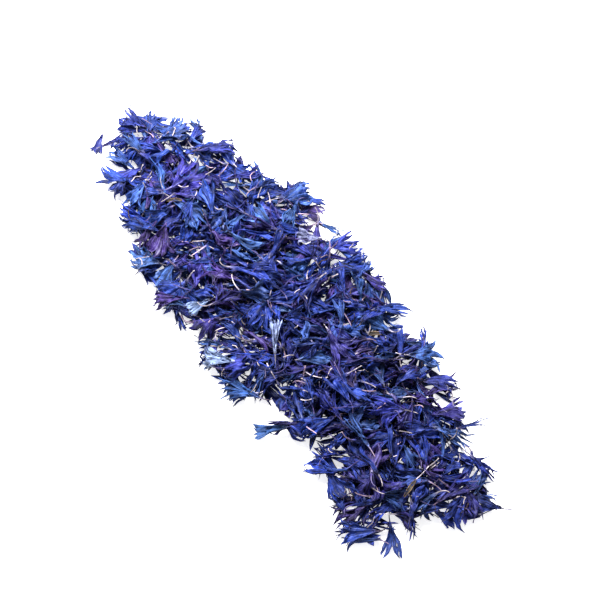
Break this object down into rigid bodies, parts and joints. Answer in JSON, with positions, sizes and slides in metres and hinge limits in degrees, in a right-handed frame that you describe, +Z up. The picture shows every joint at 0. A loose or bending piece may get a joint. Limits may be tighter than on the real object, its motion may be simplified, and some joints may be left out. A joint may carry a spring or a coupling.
{
  "type": "heap of dried cornflower florets",
  "caption": "Long low heap of loose dried blue and violet cornflower florets with pale tubes, some lying free at its rim.",
  "frame": {"origin": "middle of the heap's box, on the surface that the heap lies on", "axes": "+X along the heap, towards its broader ragged end; +Y across it; +Z up from the surface"},
  "size_m": [0.2216, 0.0848, 0.0198],
  "materials": {
    "mat": "dry matt petals, dark blue in the folds",
    "blue": "dry matt petal, cobalt blue with a pale tube",
    "violet": "dry matt petal, violet with a pale tube",
    "faded": "dry petal bleached to a pale blue, thin and translucent",
    "bract": "dry papery golden-brown scale"
  },
  "bodies": {
    "root": {"floret_mat": "mat", "bract_scale_01": "bract", "bract_scale_02": "bract", "bract_scale_03": "bract", "faded_floret_01": "faded", "faded_floret_02": "faded", "faded_floret_03": "faded", "faded_floret_04": "faded", "violet_floret_01": "violet", "violet_floret_02": "violet", "violet_floret_03": "violet", "violet_floret_04": "violet", "violet_floret_05": "violet", "violet_floret_06": "violet", "violet_floret_07": "violet", "violet_floret_08": "violet", "violet_floret_09": "violet", "violet_floret_10": "violet", "violet_floret_11": "violet", "violet_floret_12": "violet", "violet_floret_13": "violet", "violet_floret_14": "violet", "blue_floret_01": "blue", "blue_floret_02": "blue", "blue_floret_03": "blue", "blue_floret_04": "blue", "blue_floret_05": "blue", "blue_floret_06": "blue", "blue_floret_07": "blue", "blue_floret_08": "blue", "blue_floret_09": "blue", "blue_floret_10": "blue", "blue_floret_11": "blue", "blue_floret_12": "blue", "blue_floret_13": "blue", "blue_floret_14": "blue", "blue_floret_15": "blue", "blue_floret_16": "blue", "blue_floret_17": "blue", "blue_floret_18": "blue", "blue_floret_19": "blue", "blue_floret_20": "blue", "blue_floret_21": "blue", "blue_floret_22": "blue", "blue_floret_23": "blue", "blue_floret_24": "blue", "blue_floret_25": "blue", "blue_floret_26": "blue", "blue_floret_27": "blue", "blue_floret_28": "blue", "blue_floret_29": "blue", "blue_floret_30": "blue", "blue_floret_31": "blue", "blue_floret_32": "blue"}
  },
  "joints": []
}
